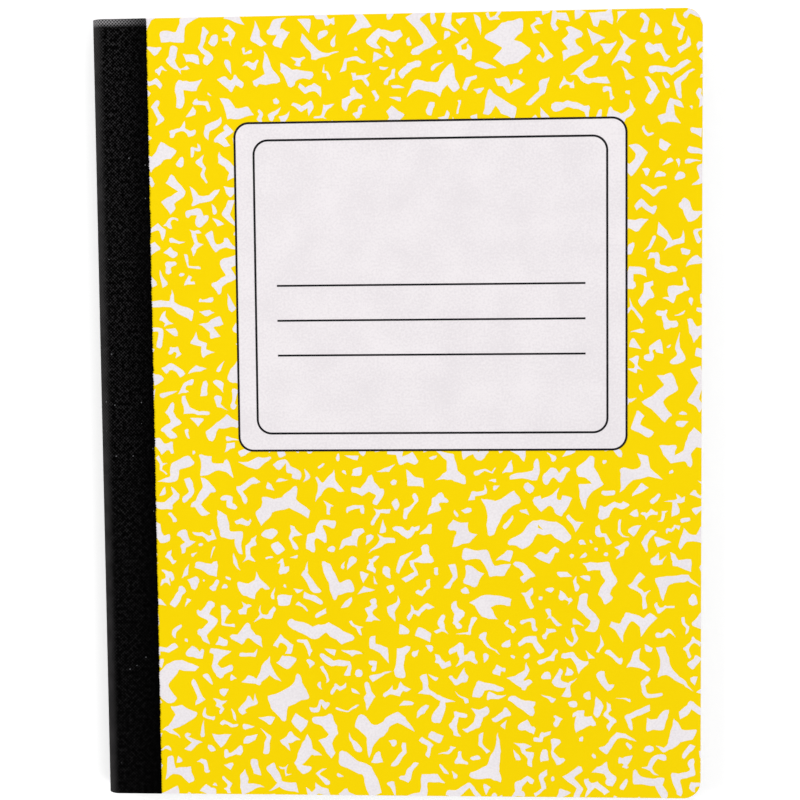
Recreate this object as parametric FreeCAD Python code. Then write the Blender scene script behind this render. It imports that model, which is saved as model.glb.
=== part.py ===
import FreeCAD, Part

import cmath
import math
import os
import random

# A sewn composition notebook, closed and lying on its back cover, in millimetres.
# X runs from the spine to the fore-edge, Y from the tail to the head, Z from the back to the front.
# The origin is under the middle of the closed notebook.

cover_height = 247.65
cover_width = 190.5
corner_radius = 5.5
block_thickness = 8.8
board_thickness = 0.7
tape_thickness = 0.2
tape_reach = 18.1
spine_radius = 4.0
board_setback = 4.6

# Trimmed edges of the folded sheets
sheet_band = 0.58
band_gap = 0.15
edge_groove = 0.15

# Sewing through the centre fold
thread_width = 0.5
thread_clearance = 0.05
stitch_length = 8.2
stitch_margin = 9.0

# Printed panel on the front cover, placed by its middle
ink_thickness = 0.05
label_width = 122.9
label_height = 103.8
label_middle_x = 10.8
label_middle_y = 39.2
label_radius = 4.8
border_line = 0.65
inner_border_side_inset = 5.95
inner_border_end_inset = 5.45
writing_line = 0.6
writing_line_length = 96.8
writing_line_pitch = 11.0
writing_line_count = 3
writing_line_rise = 0.6

# Cut-paper marbling: how far a fleck reaches from its middle, and the mean distance between such flecks
large_fleck_reach = 8.8
large_fleck_pitch = 19.8
small_fleck_reach = 6.4
small_fleck_pitch = 28.0
fleck_slenderness = 0.18
side_arm_share = 0.45
gathered_share = 0.75
fleck_spacing = 0.45
front_seed = 11
back_seed = 29

# Values that follow from the sizes above
total_thickness = block_thickness + 2 * (board_thickness + tape_thickness)
middle_z = total_thickness / 2
spine_x = -cover_width / 2
fore_edge_x = cover_width / 2
board_top = total_thickness - tape_thickness
wrap_thickness = tape_thickness + board_thickness


def rounded_panel(left, right, half_height, radius_left, radius_right):
    """Flat face in the XY plane, centred on Y, with its own corner radius at each end."""
    corners = (
        (right, half_height, radius_right, 0),
        (left, half_height, radius_left, 90),
        (left, -half_height, radius_left, 180),
        (right, -half_height, radius_right, 270),
    )
    edges = []
    points = []
    for x, y, radius, start in corners:
        if radius <= 0:
            points.append((FreeCAD.Vector(x, y, 0), FreeCAD.Vector(x, y, 0)))
            continue
        inward_x = -1 if x == right else 1
        inward_y = -1 if y > 0 else 1
        centre = FreeCAD.Vector(x + inward_x * radius, y + inward_y * radius, 0)
        arc = Part.makeCircle(radius, centre, FreeCAD.Vector(0, 0, 1), start, start + 90)
        edges.append(arc)
        points.append((arc.Vertexes[0].Point, arc.Vertexes[-1].Point))
    for index, (_, leaving) in enumerate(points):
        arriving = points[(index + 1) % len(points)][0]
        edges.append(Part.makeLine(leaving, arriving))
    return Part.Face(Part.Wire(Part.__sortEdges__(edges)))


def fold_profile(inset, radius, right):
    """Section across the spine, rounded at the fold, inset from the outside of the notebook."""
    profile = rounded_panel(spine_x + inset, right, middle_z - inset, radius, 0)
    profile.rotate(FreeCAD.Vector(0, 0, 0), FreeCAD.Vector(1, 0, 0), 90)
    profile.translate(FreeCAD.Vector(0, 0, middle_z))
    return profile


def along_spine(profile, length):
    """Runs a section across the spine from the tail to the head."""
    solid = profile.extrude(FreeCAD.Vector(0, length, 0))
    solid.translate(FreeCAD.Vector(0, -length / 2 - profile.BoundBox.YMin, 0))
    return solid


def trimmed_outline(left, trim):
    """Outline that the guillotine and the corner cutter leave, cut back by trim."""
    radius = max(corner_radius - trim, 0)
    return rounded_panel(left, fore_edge_x - trim, cover_height / 2 - trim, 0, radius)


def cover_board(bottom):
    """One pressboard cover, starting at the shoulder of the spine."""
    board = trimmed_outline(spine_x + board_setback, 0).extrude(FreeCAD.Vector(0, 0, board_thickness))
    board.translate(FreeCAD.Vector(0, 0, bottom))
    return board


def stitch_run(width):
    """Running stitch through the centre fold, drawn as one band of the given width."""
    crest_x = spine_x + tape_thickness + board_thickness / 2
    centre_x = spine_x + wrap_thickness + block_thickness / 2 + thread_width / 2 + thread_clearance
    runs = int((cover_height - 2 * stitch_margin) / stitch_length)
    first_y = -runs * stitch_length / 2
    band = None
    for index in range(runs + 1):
        y = first_y + index * stitch_length
        leg = Part.makeBox(
            centre_x - crest_x + width,
            width,
            width,
            FreeCAD.Vector(crest_x - width / 2, y - width / 2, middle_z - width / 2),
        )
        pieces = [leg]
        if index < runs:
            run_x = crest_x if index % 2 == 0 else centre_x
            pieces.append(
                Part.makeBox(
                    width,
                    stitch_length + width,
                    width,
                    FreeCAD.Vector(run_x - width / 2, y - width / 2, middle_z - width / 2),
                )
            )
        band = pieces[0].fuse(pieces[1:]) if band is None else band.fuse(pieces)
    return band.removeSplitter()


def page_block():
    """Folded sheets nested in one gathering, trimmed on three sides and pierced for the thread."""
    beyond = fore_edge_x + corner_radius
    fold_radius = spine_radius - wrap_thickness
    pitch = sheet_band + band_gap
    core = along_spine(fold_profile(wrap_thickness, fold_radius, beyond), cover_height)
    trim = trimmed_outline(spine_x, edge_groove).extrude(FreeCAD.Vector(0, 0, total_thickness))
    block = core.common(trim)
    bands = []
    for index in range(int(block_thickness / 2 / pitch)):
        outer_inset = wrap_thickness + index * pitch
        inner_inset = outer_inset + sheet_band
        outer_radius = max(fold_radius - index * pitch, 0)
        inner_radius = max(outer_radius - sheet_band, 0)
        outer = fold_profile(outer_inset, outer_radius, beyond)
        inner = fold_profile(inner_inset, inner_radius, beyond + corner_radius)
        bands.append(along_spine(outer.cut(inner), cover_height))
    full = trimmed_outline(spine_x, 0).extrude(FreeCAD.Vector(0, 0, total_thickness))
    proud = Part.makeCompound(bands).common(full)
    block = block.fuse(proud.Solids)
    return block.cut(stitch_run(thread_width + 2 * thread_clearance)).removeSplitter()


def spine_tape():
    """Bookbinding tape wrapped round the fold and glued down on both covers."""
    outer = fold_profile(0, spine_radius, spine_x + tape_reach)
    inner = fold_profile(tape_thickness, spine_radius - tape_thickness, spine_x + 2 * tape_reach)
    return along_spine(outer.cut(inner), cover_height)


def label_outline(side_inset, end_inset, radius):
    """Rounded outline parallel to the edge of the printed panel, drawn in from its sides and ends."""
    half_width = label_width / 2 - side_inset
    outline = rounded_panel(-half_width, half_width, label_height / 2 - end_inset, radius, radius)
    outline.translate(FreeCAD.Vector(label_middle_x, label_middle_y, 0))
    return outline


def printed(face, base, thickness):
    """Layer of ink or paper on a cover: thickness is negative on the back cover."""
    layer = face.extrude(FreeCAD.Vector(0, 0, thickness))
    layer.translate(FreeCAD.Vector(0, 0, base))
    return layer


def label_border():
    """Two frame lines with the same corner radius, one on the edge of the panel and one inside it."""
    lines = []
    for side_inset, end_inset in ((0, 0), (inner_border_side_inset, inner_border_end_inset)):
        outer = label_outline(side_inset, end_inset, label_radius)
        inner = label_outline(side_inset + border_line, end_inset + border_line, label_radius - border_line)
        lines.append(printed(outer.cut(inner), board_top + ink_thickness, ink_thickness))
    return Part.makeCompound(lines)


def writing_lines():
    """Ruled lines for a name, evenly spaced downwards from the middle of the printed panel."""
    lines = []
    for index in range(writing_line_count):
        line = Part.makeBox(
            writing_line_length,
            writing_line,
            ink_thickness,
            FreeCAD.Vector(
                label_middle_x - writing_line_length / 2,
                label_middle_y + writing_line_rise - index * writing_line_pitch - writing_line / 2,
                board_top + ink_thickness,
            ),
        )
        lines.append(line)
    return Part.makeCompound(lines)


def strip_end(draw, place, outward, half_width):
    """Corners at an end of a strip: one where it is cut to a point, two where it is cut across."""
    blunt = half_width * draw.choice((0, 0.6, 0.9, 1.2))
    if not blunt:
        return [place]
    across = cmath.rect(blunt, outward + math.pi / 2)
    skew = cmath.rect(blunt * draw.uniform(-0.8, 0.8), outward)
    return [place + across + skew, place - across - skew]


def outside_bend(draw, place, across, along, reach):
    """Corners on the outside of a bend: one, or three where a pointed side arm grows out of it."""
    if draw.random() > side_arm_share:
        return [place + 1.25 * across]
    arm = cmath.rect(reach * draw.uniform(0.25, 0.55), cmath.phase(across) + draw.uniform(-0.6, 0.6))
    foot = cmath.rect(abs(across) * draw.uniform(0.7, 1.1), along)
    return [place + 0.8 * across - foot, place + across + arm, place + 0.8 * across + foot]


def cut_fleck(draw, reach):
    """Corners of a cut-paper fleck about its middle, a bent strip, as complex numbers x + yj."""
    bends = draw.choice((1, 2, 2, 3))
    half_width = fleck_slenderness * reach * draw.uniform(0.75, 1.25)
    heading = draw.uniform(0, 2 * math.pi)
    side = draw.choice((-1, 1))
    place = 0j
    corners = strip_end(draw, place, heading + math.pi, half_width)
    right = []
    for bend in range(bends):
        place += cmath.rect(2 * reach / (bends + 1) * draw.uniform(0.6, 1.25), heading)
        side *= draw.choice((-1, -1, -1, 1))
        turn = side * draw.uniform(0.5, 1.6)
        along = heading + turn / 2
        across = cmath.rect(half_width * draw.uniform(0.6, 1.5), along + math.pi / 2)
        if side > 0:
            corners.append(place + 0.75 * across)
            right += outside_bend(draw, place, -across, along, reach)
        else:
            corners += outside_bend(draw, place, across, along, reach)
            right.append(place - 0.75 * across)
        heading += turn
    place += cmath.rect(2 * reach / (bends + 1) * draw.uniform(0.6, 1.25), heading)
    corners += strip_end(draw, place, heading, half_width) + right[::-1]
    middle = sum(corners) / len(corners)
    return [corner - middle for corner in corners]


def turns(a, b, c):
    """Positive where the way from a by b to c turns left."""
    return ((b - a).conjugate() * (c - a)).imag


def crosses_itself(corners):
    """True where two sides of a closed outline meet other than at a shared corner."""
    count = len(corners)
    for first in range(count):
        a = corners[first]
        b = corners[(first + 1) % count]
        for second in range(first + 2, count - (first == 0)):
            c = corners[second]
            d = corners[(second + 1) % count]
            if turns(a, b, c) * turns(a, b, d) <= 0 and turns(c, d, a) * turns(c, d, b) <= 0:
                return True
    return False


def cells_under(corners):
    """Cells of a square grid that the sides of a closed outline run over."""
    cells = set()
    for index, start in enumerate(corners):
        side = corners[(index + 1) % len(corners)] - start
        steps = 1 + int(2 * abs(side) / fleck_spacing)
        for step in range(steps):
            place = (start + side * step / steps) / fleck_spacing
            cells.add((math.floor(place.real), math.floor(place.imag)))
    return cells


def thrown_place(draw, outlines, reach, left, right):
    """Where a fleck lands: anywhere on a cover, or in most cases beside one that is already there."""
    if outlines and draw.random() < gathered_share:
        beside = draw.choice(draw.choice(outlines))
        return beside + cmath.rect(reach * draw.uniform(0.8, 1.6), draw.uniform(0, 2 * math.pi))
    return complex(draw.uniform(left, right), draw.uniform(-cover_height / 2, cover_height / 2))


def scattered_flecks(draw, left, right):
    """Flecks thrown over a cover, the large ones first, each clear of the ones already there."""
    taken = set()
    outlines = []
    area = (right - left) * cover_height
    kinds = ((large_fleck_reach, large_fleck_pitch), (small_fleck_reach, small_fleck_pitch))
    for reach, pitch in kinds:
        wanted = round(area / pitch**2)
        throws = 60 * wanted
        while wanted and throws:
            throws -= 1
            corners = cut_fleck(draw, reach * draw.uniform(0.7, 1.3))
            middle = thrown_place(draw, outlines, reach, left, right)
            corners = [middle + corner for corner in corners]
            cells = cells_under(corners)
            if crosses_itself(corners) or cells & taken:
                continue
            for cell_x, cell_y in cells:
                for beside in range(9):
                    taken.add((cell_x + beside % 3 - 1, cell_y + beside // 3 - 1))
            outlines.append(corners)
            wanted -= 1
    flecks = []
    for corners in outlines:
        points = [FreeCAD.Vector(corner.real, corner.imag, 0) for corner in corners]
        flecks.append(Part.Face(Part.makePolygon(points + points[:1])))
    return Part.makeCompound(flecks)


def marbling(seed, base, thickness, panel):
    """Flecks of one cover, trimmed with the board, ending at the tape and at any printed panel."""
    region = trimmed_outline(spine_x + tape_reach, 0)
    if panel:
        region = region.cut(panel)
    flecks = scattered_flecks(random.Random(seed), spine_x + tape_reach, fore_edge_x)
    pieces = [printed(face, base, thickness) for face in region.common(flecks).Faces]
    return Part.makeCompound(pieces)


parts = {
    "back_cover": cover_board(tape_thickness),
    "front_cover": cover_board(board_top - board_thickness),
    "page_block": page_block(),
    "binding_thread": stitch_run(thread_width),
    "spine_tape": spine_tape(),
    "back_marbling": marbling(back_seed, tape_thickness, -ink_thickness, None),
    "front_marbling": marbling(front_seed, board_top, ink_thickness, label_outline(0, 0, label_radius)),
    "front_label": printed(label_outline(0, 0, label_radius), board_top, ink_thickness),
    "label_border": label_border(),
    "writing_lines": writing_lines(),
}

os.makedirs("parts", exist_ok=True)
for name, shape in parts.items():
    shape.exportStep("parts/" + name + ".step")
    print(name, len(shape.Solids), "solids", round(shape.Volume, 2), "mm3", shape.isValid())
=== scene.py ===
import cmath
import math
import random

import bmesh
import bpy
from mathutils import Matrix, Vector, noise


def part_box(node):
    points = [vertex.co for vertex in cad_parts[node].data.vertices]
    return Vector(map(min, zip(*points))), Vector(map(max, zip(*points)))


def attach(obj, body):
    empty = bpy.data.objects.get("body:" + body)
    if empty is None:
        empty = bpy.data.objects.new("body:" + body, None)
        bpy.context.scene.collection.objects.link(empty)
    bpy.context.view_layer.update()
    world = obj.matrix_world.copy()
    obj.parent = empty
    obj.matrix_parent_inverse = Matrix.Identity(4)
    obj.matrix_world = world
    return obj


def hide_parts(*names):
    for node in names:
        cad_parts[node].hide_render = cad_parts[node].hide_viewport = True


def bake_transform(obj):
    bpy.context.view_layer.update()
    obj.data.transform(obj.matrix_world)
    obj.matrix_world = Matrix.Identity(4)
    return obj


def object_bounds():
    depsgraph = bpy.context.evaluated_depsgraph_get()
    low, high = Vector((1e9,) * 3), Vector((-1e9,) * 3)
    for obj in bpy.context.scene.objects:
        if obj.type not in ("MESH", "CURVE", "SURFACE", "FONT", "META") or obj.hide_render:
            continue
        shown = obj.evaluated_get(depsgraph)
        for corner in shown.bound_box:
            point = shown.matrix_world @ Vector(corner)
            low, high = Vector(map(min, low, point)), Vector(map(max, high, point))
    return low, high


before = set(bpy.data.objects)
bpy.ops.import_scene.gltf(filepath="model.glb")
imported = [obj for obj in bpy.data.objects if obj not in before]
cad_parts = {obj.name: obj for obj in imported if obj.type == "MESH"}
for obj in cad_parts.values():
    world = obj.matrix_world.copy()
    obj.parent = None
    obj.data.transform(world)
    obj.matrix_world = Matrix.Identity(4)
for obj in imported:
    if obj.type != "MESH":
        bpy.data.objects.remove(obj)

cad_low, cad_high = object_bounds()

# Back cover board
# A sheet of pressboard 0.7 mm thick, printed yellow outside and lined in off-white.
# It is cut with the pages, so its fore-edge corners are round, and its left edge is under the tape.

board_corner_radius = 0.0055
board_edge_softness = 0.00009
ink_edge = 0.00004
corner_steps = 14
middle_z = (cad_low[2] + cad_high[2]) / 2
yellow_ink = (0.985, 0.72, 0.0006, 1)
board_core = (0.56, 0.50, 0.41, 1)
cover_lining = (0.80, 0.79, 0.76, 1)


class Wire:
    """One socket in a node tree: arithmetic on it adds Math nodes, and add() makes any other node."""

    def __init__(self, tree, socket=None):
        self.tree = tree
        self.socket = socket

    def add(self, kind, settings, inputs, output=0):
        node = self.tree.nodes.new(kind)
        for name, value in settings.items():
            setattr(node, name, value)
        for name, value in inputs.items():
            for item in value if isinstance(value, list) else [value]:
                if isinstance(item, Wire):
                    self.tree.links.new(item.socket, node.inputs[name])
                else:
                    node.inputs[name].default_value = item
        return Wire(self.tree, node.outputs[output] if node.outputs else None)

    def maths(self, operation, first, second):
        return self.add("ShaderNodeMath", {"operation": operation}, {0: first, 1: second})

    def __add__(self, other):
        return self.maths("ADD", self, other)

    def __radd__(self, other):
        return self.maths("ADD", other, self)

    def __sub__(self, other):
        return self.maths("SUBTRACT", self, other)

    def __rsub__(self, other):
        return self.maths("SUBTRACT", other, self)

    def __mul__(self, other):
        return self.maths("MULTIPLY", self, other)

    def __rmul__(self, other):
        return self.maths("MULTIPLY", other, self)

    def __truediv__(self, other):
        return self.maths("DIVIDE", self, other)

    def __rtruediv__(self, other):
        return self.maths("DIVIDE", other, self)

    def __gt__(self, other):
        return self.maths("GREATER_THAN", self, other)

    def __lt__(self, other):
        return self.maths("LESS_THAN", self, other)

    def __abs__(self):
        return self.maths("ABSOLUTE", self, 0)

    def axis(self, number):
        return self.add("ShaderNodeSeparateXYZ", {}, {0: self}, number)

    def noise(self, size, detail=3.0):
        """Soft noise from 0 to 1 whose blots are about size metres across."""
        return self.add("ShaderNodeTexNoise", {}, {"Vector": self, "Scale": 1 / size, "Detail": detail})

    def mixed(self, first, second):
        """Colour that goes from first to second as this value goes from 0 to 1."""
        return self.add("ShaderNodeMix", {"data_type": "RGBA"}, {0: self, 6: first, 7: second}, 2)

    def step(self, low, high):
        """Smooth step of this value from 0 at low to 1 at high."""
        settings = {"interpolation_type": "SMOOTHSTEP"}
        inputs = {"Value": self, "From Min": low, "From Max": high, "To Min": 0, "To Max": 1}
        return self.add("ShaderNodeMapRange", settings, inputs)


def new_finish(name):
    """Empty material: the material, its surface shader, and the wire of its object coordinates."""
    finish = bpy.data.materials.new(name)
    finish.use_nodes = True
    tree = finish.node_tree
    shader = tree.nodes["Principled BSDF"]
    place = Wire(tree).add("ShaderNodeTexCoord", {}, {}, 3)
    return finish, shader, place


def feed(shader, **inputs):
    """Sets or links the sockets of a surface shader, whose names are written with underscores."""
    for name, value in inputs.items():
        socket = shader.inputs[name.replace("_", " ")]
        if isinstance(value, Wire):
            value.tree.links.new(value.socket, socket)
        else:
            socket.default_value = value


def relief(height, depth):
    """Surface normal of a height from 0 to 1 that is depth metres deep."""
    return height.add("ShaderNodeBump", {}, {"Strength": 1.0, "Distance": depth, "Height": height})


def new_piece(name, corners, faces, finish):
    """Object at the origin made of those corners and faces, facing outwards."""
    mesh = bpy.data.meshes.new(name)
    mesh.from_pydata(corners, [], faces)
    mesh.materials.append(finish)
    mesh.validate()
    piece = bpy.data.objects.new(name, mesh)
    bpy.context.scene.collection.objects.link(piece)
    return piece


def cut_outline(left, right, half_height, radius):
    """Outline of a cover, anticlockwise, with round corners at the fore-edge."""
    points = [(left, half_height), (left, -half_height)]
    for side in (-1, 1):
        for step in range(corner_steps + 1):
            turn = math.pi / 2 * step / corner_steps
            across = math.sin(turn) if side < 0 else math.cos(turn)
            along = math.cos(turn) if side < 0 else math.sin(turn)
            x = right - radius + radius * across
            points.append((x, side * (half_height - radius + radius * along)))
    return points


def cover_board(node, finish):
    """Cover with softened cut edges, in the place of its CAD node."""
    low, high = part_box(node)
    outline = cut_outline(low[0], high[0], high[1], board_corner_radius)
    count = len(outline)
    corners = [(x, y, z) for z in (low[2], high[2]) for x, y in outline]
    faces = [tuple(reversed(range(count))), tuple(range(count, 2 * count))]
    for index in range(count):
        after = (index + 1) % count
        faces.append((index, after, count + after, count + index))
    board = new_piece(node + "_board", corners, faces, finish)
    bevel = board.modifiers.new("soft edge", "BEVEL")
    bevel.width = board_edge_softness
    bevel.segments = 2
    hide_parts(node)
    return board


def board_finish():
    """Yellow print on the outer face, bare board on the cut edges and a pale lining inside."""
    finish, shader, place = new_finish("yellow_board")
    depth = abs(place.axis(2) - middle_z)
    board_low, board_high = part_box("front_cover")
    outside = board_high[2] - middle_z
    inside = board_low[2] - middle_z
    printed = depth.step(outside - board_edge_softness, outside - ink_edge)
    lined = 1 - depth.step(inside + ink_edge, inside + board_edge_softness)
    fibre = place.noise(0.00035, 4.0)
    cloud = place.noise(0.03, 2.0)
    ink = (0.35 * fibre + 0.65 * cloud).step(0.25, 0.75).mixed((0.97, 0.69, 0.0004, 1), yellow_ink)
    core = place.noise(0.0004, 5.0).mixed(board_core, (0.66, 0.61, 0.53, 1))
    bare = lined.mixed(core, cover_lining)
    feed(
        shader,
        Base_Color=printed.mixed(bare, ink),
        Roughness=0.82 - 0.4 * printed + 0.1 * fibre,
        Specular_IOR_Level=0.04,
        Normal=relief(fibre, 0.000012),
    )
    return finish


yellow_board = board_finish()
back_board = cover_board("back_cover", yellow_board)
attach(back_board, "back")

# Back marbling
# Off-white flecks like scraps of cut paper, where the board is left bare of the yellow ink.
# They lie all over the back board, and run off its edges and under the tape.

fleck_warp = 0.0015
fleck_warp_size = 0.005
fleck_edge_fade = 0.0022
fleck_side_step = 0.0013
fleck_roundness = 0.0011
ink_share = 0.8
fleck_slenderness = 0.19
side_arm_share = 0.45
gathered_share = 0.75
fleck_spacing = 0.00045
chip_reaches = (0.0060, 0.0043)
chip_pitches = (0.0145, 0.0140)
scrap_reaches = (0.0036, 0.0026)
scrap_pitches = (0.0130, 0.0180)
print_under_tape = 0.003
back_chip_seed = 4


def print_finish():
    """Off-white print, a little cool, with the grain of the board under it."""
    finish, shader, place = new_finish("pale_print")
    fibre = place.noise(0.0007, 4.0)
    cloud = place.noise(0.012, 2.0)
    tone = (0.65 * fibre + 0.35 * cloud).step(0.35, 0.65)
    feed(
        shader,
        Base_Color=tone.mixed((0.84, 0.795, 0.82, 1), (0.925, 0.88, 0.90, 1)),
        Roughness=0.42 + 0.1 * fibre,
        Specular_IOR_Level=0.04,
        Normal=relief(fibre, 0.000012),
    )
    return finish


def new_tree(name, sizes):
    """Empty geometry tree with one named input for each size: the wires of those inputs by name."""
    tree = bpy.data.node_groups.new(name, "GeometryNodeTree")
    tree.interface.new_socket("Geometry", in_out="INPUT", socket_type="NodeSocketGeometry")
    tree.interface.new_socket("Geometry", in_out="OUTPUT", socket_type="NodeSocketGeometry")
    kinds = {float: "NodeSocketFloat", int: "NodeSocketInt"}
    for size, value in sizes.items():
        kind = kinds.get(type(value), "NodeSocketMaterial")
        tree.interface.new_socket(size, in_out="INPUT", socket_type=kind)
    entry = tree.nodes.new("NodeGroupInput")
    return {socket.name: Wire(tree, socket) for socket in entry.outputs if socket.name}


def close_tree(geometry, finish):
    """Ends a tree: instances are made real, the material is set and the result goes out."""
    real = geometry.add("GeometryNodeRealizeInstances", {}, {0: geometry})
    dressed = geometry.add("GeometryNodeSetMaterial", {}, {"Geometry": real, "Material": finish})
    dressed.add("NodeGroupOutput", {}, {0: dressed})


def grow(piece, tree, sizes):
    """Runs a tree on a piece with those sizes, and keeps the result as the piece's plain mesh."""
    modifier = piece.modifiers.new(tree.name, "NODES")
    modifier.node_group = tree
    for socket in tree.interface.items_tree:
        if socket.in_out == "INPUT" and socket.name in sizes:
            modifier[socket.identifier] = sizes[socket.name]
    bpy.context.view_layer.update()
    evaluated = piece.evaluated_get(bpy.context.evaluated_depsgraph_get())
    mesh = bpy.data.meshes.new_from_object(evaluated)
    piece.modifiers.remove(modifier)
    piece.data = mesh


def depth_inside(x, y, wires, frame_name):
    """How far a point is inside a rounded rectangle whose sizes are inputs: negative outside it."""
    radius = wires[frame_name + " Radius"]
    past_x = abs(x - wires[frame_name + " Middle X"]) - wires[frame_name + " Half Width"] + radius
    past_y = abs(y - wires[frame_name + " Middle Y"]) - wires[frame_name + " Half Height"] + radius
    corner_x = x.maths("MAXIMUM", past_x, 0.0)
    corner_y = x.maths("MAXIMUM", past_y, 0.0)
    outer = x.maths("SQRT", corner_x * corner_x + corner_y * corner_y, 0.0)
    inner = x.maths("MINIMUM", x.maths("MAXIMUM", past_x, past_y), 0.0)
    return radius - outer - inner


def frame_sizes(name, low, high, radius):
    """Sizes of a rounded rectangle from its corners, under the names that depth_inside reads."""
    return {
        name + " Middle X": (low[0] + high[0]) / 2,
        name + " Middle Y": (low[1] + high[1]) / 2,
        name + " Half Width": (high[0] - low[0]) / 2,
        name + " Half Height": (high[1] - low[1]) / 2,
        name + " Radius": radius,
    }


def fleck_tree(sizes):
    """Straight-sided outlines get round corners here and there and curved sides, and become ink."""
    wires = new_tree("cut paper flecks", sizes)
    outlines = wires["Geometry"]
    curves = outlines.add("GeometryNodeMeshToCurve", {}, {"Mesh": outlines})
    where = outlines.add("GeometryNodeInputPosition", {}, {})
    x, y = where.axis(0), where.axis(1)
    at_tape = abs(x - wires["Tape Edge"]) < 1.0e-5
    tuck = outlines.add("ShaderNodeCombineXYZ", {}, {"X": -0.5 * wires["Under Tape"] * at_tape})
    curves = outlines.add("GeometryNodeSetPosition", {}, {"Geometry": curves, "Offset": tuck})

    on_board = depth_inside(x, y, wires, "Board")
    in_label = depth_inside(x, y, wires, "Label")
    to_border = outlines.maths("MINIMUM", abs(on_board), abs(in_label))
    to_border = outlines.maths("MINIMUM", to_border, abs(x - wires["Tape Edge"]))
    fade = to_border.step(0.0, fleck_edge_fade)
    chance = outlines.add("FunctionNodeRandomValue", {}, {2: 0.0, 3: 1.0, "Seed": 3}, 1)
    softness = wires["Roundness"] * fade * chance * (chance > 0.45)
    curves = outlines.add(
        "GeometryNodeFilletCurve",
        {"mode": "POLY"},
        {"Curve": curves, "Count": 2, "Radius": softness + 0.00002, "Limit Radius": True},
    )
    ahead = outlines.add("GeometryNodeOffsetPointInCurve", {}, {"Offset": 1}, 1)
    next_place = outlines.add(
        "GeometryNodeFieldAtIndex",
        {"data_type": "FLOAT_VECTOR", "domain": "POINT"},
        {"Index": ahead, "Value": where},
    )
    side = outlines.add("ShaderNodeVectorMath", {"operation": "DISTANCE"}, {0: where, 1: next_place}, 1)
    curves = outlines.add(
        "GeometryNodeSubdivideCurve", {}, {"Curve": curves, "Cuts": side / wires["Side Step"]}
    )
    swirl = outlines.add(
        "ShaderNodeTexNoise", {}, {"Vector": where, "Scale": 1 / wires["Warp Size"], "Detail": 1.0}, 1
    )
    swirl = outlines.add("ShaderNodeVectorMath", {"operation": "SUBTRACT"}, {0: swirl, 1: (0.5, 0.5, 0.5)})
    strength = 2.0 * fade * wires["Warp"]
    swirl = outlines.add("ShaderNodeVectorMath", {"operation": "SCALE"}, {0: swirl, "Scale": strength})
    flat = outlines.add("ShaderNodeCombineXYZ", {}, {"X": swirl.axis(0), "Y": swirl.axis(1)})
    curves = outlines.add("GeometryNodeSetPosition", {}, {"Geometry": curves, "Offset": flat})

    under = outlines.add("GeometryNodeFillCurve", {"mode": "TRIANGLES"}, {0: curves})
    level = outlines.add("ShaderNodeCombineXYZ", {}, {"Z": wires["Base"]})
    under = outlines.add("GeometryNodeSetPosition", {}, {"Geometry": under, "Offset": level})
    over = outlines.add(
        "GeometryNodeExtrudeMesh",
        {"mode": "FACES"},
        {
            "Mesh": under,
            "Offset": (0.0, 0.0, 1.0),
            "Offset Scale": wires["Thickness"],
            "Individual": False,
        },
    )
    under = outlines.add("GeometryNodeFlipFaces", {}, {0: under})
    layer = outlines.add("GeometryNodeJoinGeometry", {}, {0: [over, under]})
    layer = outlines.add("GeometryNodeMergeByDistance", {}, {"Geometry": layer, "Distance": 1.0e-6})
    layer = outlines.add("GeometryNodeFlipFaces", {}, {"Mesh": layer, "Selection": wires["Facing"] < 0.0})
    close_tree(layer, wires["Finish"])
    return wires["Geometry"].tree


def outlines_of(node, facing):
    """Outlines of the flecks in a CAD node, each a list of corners as complex numbers x + yj."""
    solid = bmesh.new()
    solid.from_mesh(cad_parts[node].data)
    bmesh.ops.remove_doubles(solid, verts=solid.verts, dist=1.0e-6)
    solid.normal_update()
    after = {}
    for face in solid.faces:
        if face.normal.z * facing < 0.5:
            continue
        for loop in face.loops:
            if sum(beside.normal.z * facing > 0.5 for beside in loop.edge.link_faces) == 1:
                after[loop.vert] = loop.link_loop_next.vert
    outlines = []
    while after:
        start, corner = after.popitem()
        outline = [complex(start.co.x, start.co.y)]
        while corner != start:
            outline.append(complex(corner.co.x, corner.co.y))
            corner = after.pop(corner)
        outlines.append(outline)
    solid.free()
    return outlines


def strip_end(draw, place, outward, half_width):
    """Corners at an end of a strip: one where it is cut to a point, two where it is cut across."""
    blunt = half_width * draw.choice((0, 0.6, 0.9, 1.2))
    if not blunt:
        return [place]
    across = cmath.rect(blunt, outward + math.pi / 2)
    skew = cmath.rect(blunt * draw.uniform(-0.8, 0.8), outward)
    return [place + across + skew, place - across - skew]


def outside_bend(draw, place, across, along, reach):
    """Corners on the outside of a bend: one, or three where a pointed side arm grows out of it."""
    if draw.random() > side_arm_share:
        return [place + 1.25 * across]
    arm = cmath.rect(reach * draw.uniform(0.25, 0.55), cmath.phase(across) + draw.uniform(-0.6, 0.6))
    foot = cmath.rect(abs(across) * draw.uniform(0.7, 1.1), along)
    return [place + 0.8 * across - foot, place + across + arm, place + 0.8 * across + foot]


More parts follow.
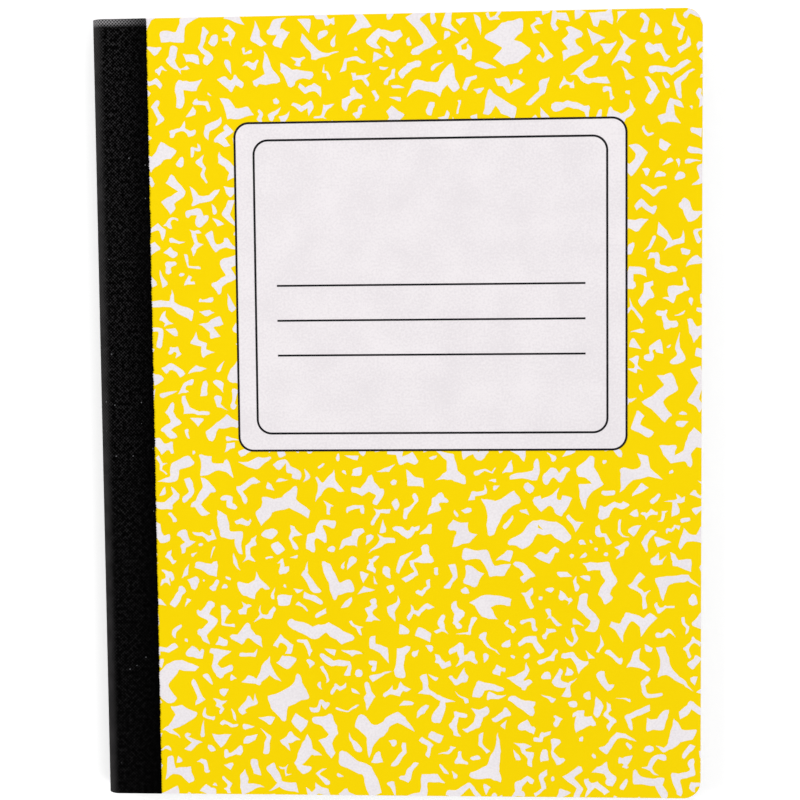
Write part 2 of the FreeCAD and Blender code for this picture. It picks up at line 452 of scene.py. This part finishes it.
def cut_fleck(draw, reach):
    """Corners of a cut-paper fleck about its middle, a bent strip like the larger ones in the CAD."""
    bends = draw.choice((1, 2, 2, 3))
    half_width = fleck_slenderness * reach * draw.uniform(0.75, 1.25)
    heading = draw.uniform(0, 2 * math.pi)
    side = draw.choice((-1, 1))
    place = 0j
    corners = strip_end(draw, place, heading + math.pi, half_width)
    right = []
    for bend in range(bends):
        place += cmath.rect(2 * reach / (bends + 1) * draw.uniform(0.6, 1.25), heading)
        side *= draw.choice((-1, -1, -1, 1))
        turn = side * draw.uniform(0.5, 1.6)
        along = heading + turn / 2
        across = cmath.rect(half_width * draw.uniform(0.6, 1.5), along + math.pi / 2)
        if side > 0:
            corners.append(place + 0.75 * across)
            right += outside_bend(draw, place, -across, along, reach)
        else:
            corners += outside_bend(draw, place, across, along, reach)
            right.append(place - 0.75 * across)
        heading += turn
    place += cmath.rect(2 * reach / (bends + 1) * draw.uniform(0.6, 1.25), heading)
    corners += strip_end(draw, place, heading, half_width) + right[::-1]
    middle = sum(corners) / len(corners)
    return [corner - middle for corner in corners]


def scrap(draw, reach):
    """Corners of a small scrap about its middle: a triangle, kite or sliver."""
    count = draw.choice((3, 3, 3, 4, 4))
    slender = draw.uniform(0.3, 0.8)
    heading = cmath.rect(1, draw.uniform(0, 2 * math.pi))
    first = draw.uniform(0, 1)
    corners = []
    for corner in range(count):
        turn = 2 * math.pi * (corner + first + draw.uniform(-0.3, 0.3)) / count
        corners.append(heading * reach * complex(math.cos(turn), slender * math.sin(turn)))
    return corners


def turns(a, b, c):
    """Positive where the way from a by b to c turns left."""
    return ((b - a).conjugate() * (c - a)).imag


def crosses_itself(corners):
    """True where two sides of a closed outline meet other than at a shared corner."""
    count = len(corners)
    for first in range(count):
        a = corners[first]
        b = corners[(first + 1) % count]
        for second in range(first + 2, count - (first == 0)):
            c = corners[second]
            d = corners[(second + 1) % count]
            if turns(a, b, c) * turns(a, b, d) <= 0 and turns(c, d, a) * turns(c, d, b) <= 0:
                return True
    return False


def cells_under(corners):
    """Cells of a square grid that the sides of a closed outline run over."""
    cells = set()
    for index, start in enumerate(corners):
        side = corners[(index + 1) % len(corners)] - start
        steps = 1 + int(2 * abs(side) / fleck_spacing)
        for step in range(steps):
            place = (start + side * step / steps) / fleck_spacing
            cells.add((math.floor(place.real), math.floor(place.imag)))
    return cells


def spread(cells):
    """The cells and their eight neighbours."""
    return {(x + beside % 3 - 1, y + beside // 3 - 1) for x, y in cells for beside in range(9)}


def cropped(corners, outline):
    """The part of a fleck that lies inside a convex outline."""
    for index, start in enumerate(outline):
        end = outline[(index + 1) % len(outline)]
        kept = []
        for place, corner in enumerate(corners):
            before = corners[place - 1]
            inside_before = turns(start, end, before)
            inside = turns(start, end, corner)
            if inside_before * inside < 0:
                kept.append(before + (corner - before) * inside_before / (inside_before - inside))
            if inside >= 0:
                kept.append(corner)
        corners = kept
    return corners


def thrown_place(draw, outlines, reach, low, high):
    """Where a chip lands: anywhere on a board, or in most cases beside one that is already there."""
    if draw.random() < gathered_share:
        beside = draw.choice(draw.choice(outlines))
        return beside + cmath.rect(reach * draw.uniform(0.8, 1.6), draw.uniform(0, 2 * math.pi))
    return complex(draw.uniform(low[0], high[0]), draw.uniform(low[1], high[1]))


def with_chips(draw, outlines, low, high):
    """The given flecks and smaller ones between them, cut off where they cross the board's edge."""
    board = [complex(x, y) for x, y in cut_outline(low[0], high[0], high[1], board_corner_radius)]
    outlines = list(outlines)
    taken = set()
    for outline in outlines:
        taken |= spread(cells_under(outline))
    kinds = [(cut_fleck, reach, pitch) for reach, pitch in zip(chip_reaches, chip_pitches)]
    kinds += [(scrap, reach, pitch) for reach, pitch in zip(scrap_reaches, scrap_pitches)]
    for make, reach, pitch in kinds:
        wanted = round((high[0] - low[0]) * (high[1] - low[1]) / pitch**2)
        throws = 40 * wanted
        while wanted and throws:
            throws -= 1
            middle = thrown_place(draw, outlines, reach, low, high)
            corners = [middle + corner for corner in make(draw, reach * draw.uniform(0.75, 1.25))]
            cells = cells_under(corners)
            if cells & taken or crosses_itself(corners):
                continue
            taken |= spread(cells)
            corners = cropped(corners, board)
            if len(corners) > 2:
                outlines.append(corners)
                wanted -= 1
    return outlines


def marbling(node, board, facing, label_low, label_high, label_radius, seed):
    """Flecks printed on a board, in the place of their CAD node. facing is 1 up and -1 down."""
    board_low, board_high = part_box(board)
    low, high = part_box(node)
    tape_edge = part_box("spine_tape")[1][0]
    print_low = (tape_edge - print_under_tape, low[1])
    sizes = {
        "Facing": float(facing),
        "Roundness": fleck_roundness,
        "Side Step": fleck_side_step,
        "Warp": fleck_warp,
        "Warp Size": fleck_warp_size,
        "Tape Edge": tape_edge,
        "Under Tape": print_under_tape,
        "Base": board_high[2] if facing > 0 else board_low[2],
        "Thickness": facing * ink_share * (high[2] - low[2]),
        "Finish": pale_print,
    }
    sizes.update(frame_sizes("Board", print_low, high, board_corner_radius))
    sizes.update(frame_sizes("Label", label_low, label_high, label_radius))
    outlines = with_chips(random.Random(seed), outlines_of(node, facing), print_low, high)
    corners = []
    sides = []
    for outline in outlines:
        first = len(corners)
        corners += [(corner.real, corner.imag, 0.0) for corner in outline]
        sides += [(first + index, first + (index + 1) % len(outline)) for index in range(len(outline))]
    mesh = bpy.data.meshes.new(node + "_print")
    mesh.from_pydata(corners, sides, [])
    flecks = bpy.data.objects.new(node + "_print", mesh)
    bpy.context.scene.collection.objects.link(flecks)
    grow(flecks, fleck_tree(sizes), sizes)
    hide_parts(node)
    return flecks


pale_print = print_finish()
no_label = (0.0, 0.0)
back_flecks = marbling("back_marbling", "back_cover", -1, no_label, no_label, 0.0, back_chip_seed)
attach(back_flecks, "back")

# Page block
# Fifty sheets of white writing paper folded once and nested, which makes a hundred leaves.
# They are sewn through the fold and then trimmed together with the boards on three sides.

folded_sheets = 50
paper_share = 0.8
leaf_unevenness = 0.00011
fold_corner_share = 0.7
fold_steps = 6
page_seed = 12
ruling_pitch = 0.0071
ruling_width = 0.00022
head_margin = 0.026
foot_margin = 0.010
side_margin = 0.032
paper_white = (0.84, 0.84, 0.815, 1)
ruling_blue = (0.30, 0.50, 0.72, 1)
margin_red = (0.72, 0.28, 0.32, 1)


def paper_finish():
    """White writing paper with blue college ruling and a red margin line on each side of a leaf."""
    finish, shader, place = new_finish("ruled_paper")
    low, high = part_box("page_block")
    fibre = place.noise(0.0006, 4.0)
    cloud = place.noise(0.02, 2.0)
    paper = (0.4 * fibre + 0.6 * cloud).step(0.3, 0.7).mixed((0.80, 0.80, 0.775, 1), paper_white)
    x, y, z = place.axis(0), place.axis(1), place.axis(2)
    from_head = high[1] - head_margin - y
    phase = from_head.maths("PINGPONG", from_head, ruling_pitch / 2)
    line = 1 - phase.step(ruling_width * 0.35, ruling_width * 0.65)
    ruled = (from_head > -ruling_width) * (y > low[1] + foot_margin)
    lined = (0.75 * line * ruled).mixed(paper, ruling_blue)
    upper = z > middle_z
    margin_x = upper * (low[0] + side_margin) + (1 - upper) * (high[0] - side_margin)
    margin = 1 - abs(x - margin_x).step(ruling_width * 0.35, ruling_width * 0.65)
    feed(
        shader,
        Base_Color=(0.75 * margin).mixed(lined, margin_red),
        Roughness=0.9,
        Specular_IOR_Level=0.15,
        Normal=relief(fibre, 0.00001),
    )
    return finish


def folded_sheet(name, finish):
    """The outermost folded sheet as a thin closed shell: front leaf, fold and back leaf."""
    low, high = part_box("page_block")
    half = (high[2] - low[2]) / 2
    fold_x = low[0] + half
    corner = half * fold_corner_share
    stations = []
    for step in range(corner_steps + 1):
        turn = math.pi / 2 * (1 - step / corner_steps)
        x = high[0] - board_corner_radius * (1 - math.sin(turn))
        stations.append((x, half, high[1] - board_corner_radius * (1 - math.cos(turn))))
    for step in range(fold_steps + 1):
        turn = math.pi / 2 * step / fold_steps
        x = low[0] + corner * (1 - math.sin(turn))
        stations.append((x, half - corner * (1 - math.cos(turn)), high[1]))
    stations += [(x, -z, y) for x, z, y in reversed(stations)]
    inner_scale = 1 - paper_share / folded_sheets
    corners = []
    for x, z, y in stations:
        inner_x = fold_x + (x - fold_x) * inner_scale if x < fold_x else x
        for side_x, side_z in ((x, z), (inner_x, z * inner_scale)):
            corners += [(side_x, y, middle_z + side_z), (side_x, -y, middle_z + side_z)]
    faces = [(0, 2, 3, 1)]
    for index in range(len(stations) - 1):
        a = 4 * index
        b = a + 4
        faces += [(a, b, b + 2, a + 2), (a + 1, a + 3, b + 3, b + 1)]
        faces += [(a, a + 1, b + 1, b), (a + 2, b + 2, b + 3, a + 3)]
    last = 4 * (len(stations) - 1)
    faces.append((last, last + 1, last + 3, last + 2))
    return new_piece(name, corners, faces, finish)


def page_tree(sizes):
    """Nests copies of the outermost folded sheet inside each other, each trimmed a little unevenly."""
    wires = new_tree("nested sheets", sizes)
    sheet = wires["Geometry"]
    line = sheet.add("GeometryNodeMeshLine", {}, {"Count": wires["Sheets"], "Offset": (0.0, 0.0, 0.0)})
    nest = sheet.add("GeometryNodeInstanceOnPoints", {}, {"Points": line, "Instance": sheet})
    nest = sheet.add(
        "GeometryNodeStoreNamedAttribute",
        {"data_type": "FLOAT", "domain": "INSTANCE"},
        {"Geometry": nest, "Name": "sheet", "Value": sheet.add("GeometryNodeInputIndex", {}, {})},
    )
    leaves = sheet.add("GeometryNodeRealizeInstances", {}, {0: nest})
    number = sheet.add("GeometryNodeInputNamedAttribute", {"data_type": "FLOAT"}, {"Name": "sheet"})
    where = sheet.add("GeometryNodeInputPosition", {}, {})
    x, y, z = where.axis(0), where.axis(1), where.axis(2)
    scale = 1 - number / wires["Sheets"]
    past_fold = sheet.maths("MINIMUM", x - wires["Fold X"], 0.0)
    in_leaf = sheet.maths("MAXIMUM", x - wires["Fold X"], 0.0)
    upper = z > wires["Middle Z"]
    leaf = 2 * number + upper + wires["Seed"]
    trims = []
    for draw in range(3):
        white = sheet.add("ShaderNodeTexWhiteNoise", {"noise_dimensions": "1D"}, {"W": leaf + 200.0 * draw})
        trims.append(wires["Unevenness"] * white)
    fore_trim, head_trim, tail_trim = trims
    to_fore_edge = in_leaf / wires["Leaf Width"]
    new_x = wires["Fold X"] + past_fold * scale + in_leaf - to_fore_edge * fore_trim
    at_head = y > 0.0
    new_y = y + tail_trim * (1 - at_head) - head_trim * at_head
    new_z = wires["Middle Z"] + (z - wires["Middle Z"]) * scale
    moved = sheet.add("ShaderNodeCombineXYZ", {}, {"X": new_x, "Y": new_y, "Z": new_z})
    leaves = sheet.add("GeometryNodeSetPosition", {}, {"Geometry": leaves, "Position": moved})
    close_tree(leaves, wires["Finish"])
    return wires["Geometry"].tree


ruled_paper = paper_finish()
page_low, page_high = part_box("page_block")
page_sizes = {
    "Sheets": folded_sheets,
    "Fold X": page_low[0] + (page_high[2] - page_low[2]) / 2,
    "Leaf Width": page_high[0] - page_low[0],
    "Middle Z": middle_z,
    "Unevenness": leaf_unevenness,
    "Seed": float(page_seed),
    "Finish": ruled_paper,
}
pages = folded_sheet("nested_sheets", ruled_paper)
grow(pages, page_tree(page_sizes), page_sizes)
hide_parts("page_block")
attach(pages, "pages")

# Binding thread
# One white cotton thread in a running stitch through the fold of all the sheets.
# It lies under the tape at the back of the fold and in the gutter of the middle sheet.

thread_twist = 0.0006


def thread_finish():
    """White cotton with the slanting ridges of its twist, and painted shade in the grooves between them."""
    finish, shader, place = new_finish("cotton_thread")
    slant = (place.axis(1) + place.axis(0) + place.axis(2)) / thread_twist
    ridge = slant.maths("PINGPONG", slant, 0.5) * 2
    feed(
        shader,
        # Painted shade: the grooves between the ridges are painted darker grey, and the ridge tops are
        # painted white.
        Base_Color=ridge.mixed((0.55, 0.54, 0.50, 1), (0.86, 0.85, 0.80, 1)),
        Roughness=0.85,
        Specular_IOR_Level=0.2,
        Normal=relief(ridge, 0.00005),
    )
    return finish


def dress(node, finish):
    """Gives a CAD node its finish."""
    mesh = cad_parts[node].data
    mesh.materials.clear()
    mesh.materials.append(finish)


dress("binding_thread", thread_finish())

# Front cover board
# The same pressboard as the back, printed yellow outside and lined in off-white.
# It is trimmed with the back board and the pages, and its left edge is under the tape.

front_board = cover_board("front_cover", yellow_board)
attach(front_board, "front")

# Front marbling
# Flecks like those of the back board, in a pattern of their own.
# They run off the board's edges, under the tape and in under the printed label.

front_chip_seed = 9
label_corner_radius = 0.0048
label_low, label_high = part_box("front_label")
front_flecks = marbling(
    "front_marbling", "front_cover", 1, label_low, label_high, label_corner_radius, front_chip_seed
)
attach(front_flecks, "front")

# Label
# A field with round corners that is left off-white, for the owner's name and subject.
# Two black frame lines run round it and three lines are ruled across its lower half.


def line_finish():
    """Black printing ink, slightly glossier than the board."""
    finish, shader, place = new_finish("black_line")
    fibre = place.noise(0.0003, 4.0)
    feed(
        shader,
        Base_Color=fibre.step(0.3, 0.8).mixed((0.008, 0.008, 0.010, 1), (0.022, 0.021, 0.024, 1)),
        Roughness=0.4 + 0.1 * fibre,
        Specular_IOR_Level=0.06,
        Normal=relief(fibre, 0.00001),
    )
    return finish


black_line = line_finish()
dress("front_label", pale_print)
dress("label_border", black_line)
dress("writing_lines", black_line)

# Spine tape
# Black bookbinding cloth, woven fine and sealed with a thin coat, glued round the fold.
# A back half and a front half meet along the middle of the spine.

tape_radius = 0.004
tape_row = 0.0004
tape_columns = 14
tape_ragged = 0.0002
ragged_short = 0.0016
ragged_long = 0.011
tape_fray = 0.00012
fray_pitch = 0.0009
frayed_share = 0.1
cloth_pitch = 0.00052
cloth_depth = 0.00005
# Width of the band along the head edge where the raised threads are painted pale, partly painted sheen and
# partly wear.
head_sheen_width = 0.0028
speck_pitch = 0.003


def cloth_finish():
    """Black canvas weave with grey specks, a painted sheen on the spine's rounding, and raised threads
    painted pale along the head edge, partly painted sheen and partly wear.
    """
    finish, shader, place = new_finish("black_cloth")
    cloth = place.add("ShaderNodeUVMap", {"uv_map": "cloth"}, {})
    u, v = cloth.axis(0), cloth.axis(1)
    wobble = cloth.noise(0.004, 2.0)
    warp = (u / cloth_pitch + 0.35 * wobble) * math.pi
    weft = (v / cloth_pitch + 0.35 * wobble) * math.pi
    across = warp.maths("SINE", warp, 0.0)
    along = weft.maths("SINE", weft, 0.0)
    weave = 0.5 + 0.5 * across * along
    grain = cloth.noise(0.00025, 3.0)
    lint = cloth.noise(0.0011, 4.0)
    patch = cloth.noise(0.006, 3.0)
    height = 0.8 * weave + 0.2 * grain
    # Painted sheen and wear: the raised threads within a few millimetres of the head edge are painted pale
    # grey. This stands for the glint of light along the head as well as wear, and is strongest near the
    # spine.
    head_sheen_and_wear = v.step(cad_high[1] - head_sheen_width, cad_high[1] - 0.4 * head_sheen_width)
    head_sheen_and_wear = head_sheen_and_wear * (1 - 0.75 * abs(u).step(0.008, 0.021)) * (weave * 0.6 + grain * 0.6).step(0.4, 0.75)
    # Painted sheen: the cloth on the rounding of the spine, out to about 5 to 8 mm from its middle, is
    # painted lighter grey where the lamps glint on it.
    fold = (1 - abs(u).step(0.0048, 0.0078)) * (0.4 * weave + 0.6 * patch).step(0.1, 0.7)
    spots = cloth.add("ShaderNodeTexVoronoi", {}, {"Vector": cloth, "Scale": 1 / speck_pitch}, 0)
    chance = cloth.add("ShaderNodeTexVoronoi", {}, {"Vector": cloth, "Scale": 1 / speck_pitch}, 1).axis(0)
    speck = (spots < 0.07) * (chance > 0.6)
    thread = (0.3 * weave + 0.7 * lint).step(0.46, 0.72) * (1 - 0.8 * abs(u).step(0.009, 0.023))
    thread = thread * (0.4 + 0.6 * v.step(cad_low[1], cad_high[1]))
    black = thread.mixed((0.0001, 0.0001, 0.0001, 1), (0.028, 0.027, 0.028, 1))
    # The painted sheen of the spine's rounding is mixed into the black cloth here, and the grey dust specks
    # then go over it.
    black_with_painted_sheen = (0.8 * fold).mixed(black, (0.042, 0.040, 0.041, 1))
    dust_over_painted_sheen = (0.6 * speck).mixed(black_with_painted_sheen, (0.20, 0.20, 0.21, 1))
    feed(
        shader,
        # The head band of painted sheen and wear is laid over everything else.
        Base_Color=(0.85 * head_sheen_and_wear).mixed(dust_over_painted_sheen, (0.34, 0.33, 0.34, 1)),
        Roughness=0.4 + 0.16 * patch + 0.1 * (1 - weave),
        Specular_IOR_Level=0.01,
        Normal=relief(height, cloth_depth),
    )
    return finish


def tape_profile(side):
    """Section of one half of the tape, from the middle of the spine to its glued edge.

    Each entry is x and z on the outer side, then the direction from there into the tape."""
    low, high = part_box("spine_tape")
    half = (high[2] - low[2]) / 2
    profile = [(low[0], middle_z, 1, 0)]
    for step in range(2 * fold_steps + 1):
        turn = math.pi / 2 * step / (2 * fold_steps)
        x = low[0] + tape_radius * (1 - math.cos(turn))
        z = half - tape_radius * (1 - math.sin(turn))
        profile.append((x, middle_z + side * z, math.cos(turn), -side * math.sin(turn)))
    flat = high[0] - low[0] - tape_radius
    for column in range(1, tape_columns + 1):
        x = low[0] + tape_radius + flat * column / tape_columns
        profile.append((x, middle_z + side * half, 0, -side))
    return profile


def tape_half(name, side, finish):
    """One half of the tape as a thin closed shell with a slightly ragged glued edge."""
    low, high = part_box("spine_tape")
    thickness = high[2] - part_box("front_cover")[1][2]
    profile = tape_profile(side)
    rows = round((high[1] - low[1]) / tape_row)
    width = 2 * len(profile)
    corners = []
    lengths = [0.0]
    for before, after in zip(profile, profile[1:]):
        lengths.append(lengths[-1] + math.dist(before[:2], after[:2]))
    reach = lengths[-1]
    for row in range(rows + 1):
        y = low[1] + (high[1] - low[1]) * row / rows
        wander = noise.noise(Vector((y / ragged_short, side * 7.0, 0.3)))
        wander += 0.6 * noise.noise(Vector((y / ragged_long, side, 5.1)))
        fray = tape_fray * (math.cos(2 * math.pi * y / fray_pitch) - 1)
        retreat = tape_ragged * (wander - 1.6) + fray
        for layer in (0, 1):
            depth = layer * thickness
            for (x, z, inward_x, inward_z), length in zip(profile, lengths):
                pull = retreat * max(0.0, length / reach - (1 - frayed_share)) / frayed_share
                corners.append((x + depth * inward_x + pull, y, z + depth * inward_z))
    faces = []
    count = len(profile)
    for row in range(rows):
        for column in range(count - 1):
            a = row * width + column
            b = a + width
            faces.append((a, b, b + 1, a + 1))
            faces.append((a + count, a + count + 1, b + count + 1, b + count))
        for column in (0, count - 1):
            a = row * width + column
            b = a + width
            faces.append((a, a + count, b + count, b) if column == 0 else (a, b, b + count, a + count))
    for row in (0, rows):
        for column in range(count - 1):
            a = row * width + column
            face = (a, a + 1, a + count + 1, a + count)
            faces.append(face if row == 0 else tuple(reversed(face)))
    if side < 0:
        faces = [tuple(reversed(face)) for face in faces]
    half = new_piece(name, corners, faces, finish)
    cloth = half.data.uv_layers.new(name="cloth")
    for loop in half.data.loops:
        corner = loop.vertex_index
        cloth.data[loop.index].uv = (side * lengths[corner % width % count], corners[corner][1])
    half.data.shade_smooth()
    half.data.set_sharp_from_angle(angle=math.radians(50))
    return half


black_cloth = cloth_finish()
back_tape = tape_half("spine_tape_back", -1, black_cloth)
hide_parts("spine_tape")
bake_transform(back_tape)
front_tape = tape_half("spine_tape_front", 1, black_cloth)
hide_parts("spine_tape")
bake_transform(front_tape)

# Floor, light and camera
# A pale table top under soft studio light, seen from straight above with a slight tilt.

floor_half = 4.0
floor_white = 0.86
floor_lift = 0.34
world_strength = 0.4
camera_lens = 76.5
camera_place = (0.03506, 0.04244, 0.54417)
camera_turn = (-4.17, 3.65, -0.30)


def floor_finish():
    """Pale floor that the camera sees as white where no shadow falls."""
    finish, shader, place = new_finish("studio_floor")
    seen = place.add("ShaderNodeLightPath", {}, {}, 0)
    glossy = place.add("ShaderNodeLightPath", {}, {}, 3)
    shown = place.maths("MAXIMUM", seen, glossy)
    feed(
        shader,
        Base_Color=(floor_white, floor_white, floor_white, 1),
        Roughness=1.0,
        Specular_IOR_Level=0.0,
        Emission_Color=shown.mixed((0, 0, 0, 1), (floor_lift, floor_lift, floor_lift, 1)),
        Emission_Strength=1.0,
    )
    return finish


def studio_world():
    """Even white surroundings, a little dimmer as light than they look to the camera."""
    world = bpy.data.worlds.new("studio")
    world.use_nodes = True
    tree = world.node_tree
    seen = Wire(tree).add("ShaderNodeLightPath", {}, {}, 0)
    grey = (world_strength, world_strength, world_strength, 1)
    tree.links.new(seen.mixed(grey, (1, 1, 1, 1)).socket, tree.nodes["Background"].inputs["Color"])
    tree.nodes["Background"].inputs["Strength"].default_value = 1
    bpy.context.scene.world = world


def soft_light(name, place, size, power):
    """Square soft box that faces the middle of the notebook."""
    data = bpy.data.lights.new(name, "AREA")
    data.shape = "SQUARE"
    data.size = size
    data.energy = power
    lamp = bpy.data.objects.new(name, data)
    lamp.location = place
    lamp.rotation_euler = (-Vector(place)).to_track_quat("-Z", "Y").to_euler()
    bpy.context.scene.collection.objects.link(lamp)


floor_corners = [(floor_half * x, floor_half * y, 0.0) for x, y in ((-1, -1), (1, -1), (1, 1), (-1, 1))]
floor = new_piece("floor", floor_corners, [(0, 1, 2, 3)], floor_finish())
studio_world()
soft_light("left soft box", (-1.3, 0.3, 1.0), 1.0, 12.2)
soft_light("right soft box", (1.1, -0.5, 1.3), 1.0, 9.6)
soft_light("head soft box", (0.1, 1.4, 0.9), 1.0, 7.8)

camera_data = bpy.data.cameras.new("camera")
camera_data.lens = camera_lens
camera = bpy.data.objects.new("camera", camera_data)
camera.location = camera_place
camera.rotation_mode = "ZYX"
camera.rotation_euler = [math.radians(angle) for angle in camera_turn]
bpy.context.scene.collection.objects.link(camera)
bpy.context.scene.camera = camera
bpy.context.scene.view_settings.view_transform = "Standard"
